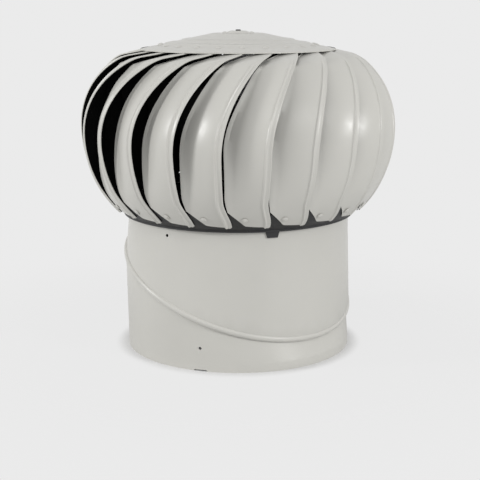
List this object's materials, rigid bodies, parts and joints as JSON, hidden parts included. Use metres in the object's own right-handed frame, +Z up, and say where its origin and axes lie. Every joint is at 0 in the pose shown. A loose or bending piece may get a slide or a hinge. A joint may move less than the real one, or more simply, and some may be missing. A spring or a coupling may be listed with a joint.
{
  "type": "roof turbine ventilator",
  "caption": "Wind-driven roof turbine ventilator: round vaned head turning on a shaft above a two-part throat that swivels on an oblique beaded joint to suit the roof pitch.",
  "frame": {"origin": "centre of the lower rim of the throat, on the throat's axis", "axes": "+Z up along the throat and the head's shaft, -Y towards the front"},
  "size_m": [0.4218, 0.4186, 0.4241],
  "materials": {
    "painted_sheet": "semi-gloss warm grey paint on steel sheet",
    "painted_rivet": "painted rivets",
    "black_polymer": "moulded black",
    "zinc_plated": "zinc plated",
    "bare_steel": "ground",
    "aluminium": "turned"
  },
  "bodies": {
    "lower_throat": {"lower_throat": "painted_sheet"},
    "upper_throat": {"upper_throat": "painted_sheet", "throat_spider": "black_polymer", "spider_screws": "zinc_plated", "shaft": "bare_steel", "shaft_nuts": "zinc_plated", "shaft_washers": "zinc_plated", "shaft_circlip": "bare_steel", "upper_bearing_inner_ring": "bare_steel", "lower_bearing_inner_ring": "bare_steel"},
    "turbine_head": {"bearing_housing": "aluminium", "bearing_spacer": "aluminium", "upper_bearing_outer_ring": "bare_steel", "lower_bearing_outer_ring": "bare_steel", "housing_rivets": "painted_rivet", "crown": "painted_sheet", "crown_cap": "painted_sheet", "cap_plug": "black_polymer", "crown_rivets": "painted_rivet", "lower_ring": "black_polymer", "foot_rivets": "painted_rivet", "vane_01": "painted_sheet", "vane_02": "painted_sheet", "vane_03": "painted_sheet", "vane_04": "painted_sheet", "vane_05": "painted_sheet", "vane_06": "painted_sheet", "vane_07": "painted_sheet", "vane_08": "painted_sheet", "vane_09": "painted_sheet", "vane_10": "painted_sheet", "vane_11": "painted_sheet", "vane_12": "painted_sheet", "vane_13": "painted_sheet", "vane_14": "painted_sheet", "vane_15": "painted_sheet", "vane_16": "painted_sheet", "vane_17": "painted_sheet", "vane_18": "painted_sheet", "vane_19": "painted_sheet", "vane_20": "painted_sheet", "vane_21": "painted_sheet", "vane_22": "painted_sheet"}
  },
  "joints": [
    {"name": "throat_swivel", "type": "hinge", "parent": "lower_throat", "child": "upper_throat", "pos_m": [0, 0, 0.0962], "axis": [0.2682, -0.273, 0.9239], "range_deg": [-180, 180]},
    {"name": "head_spin", "type": "hinge", "parent": "upper_throat", "child": "turbine_head", "pos_m": [0, 0, 0], "axis": [0, 0, 1], "continuous": true}
  ]
}
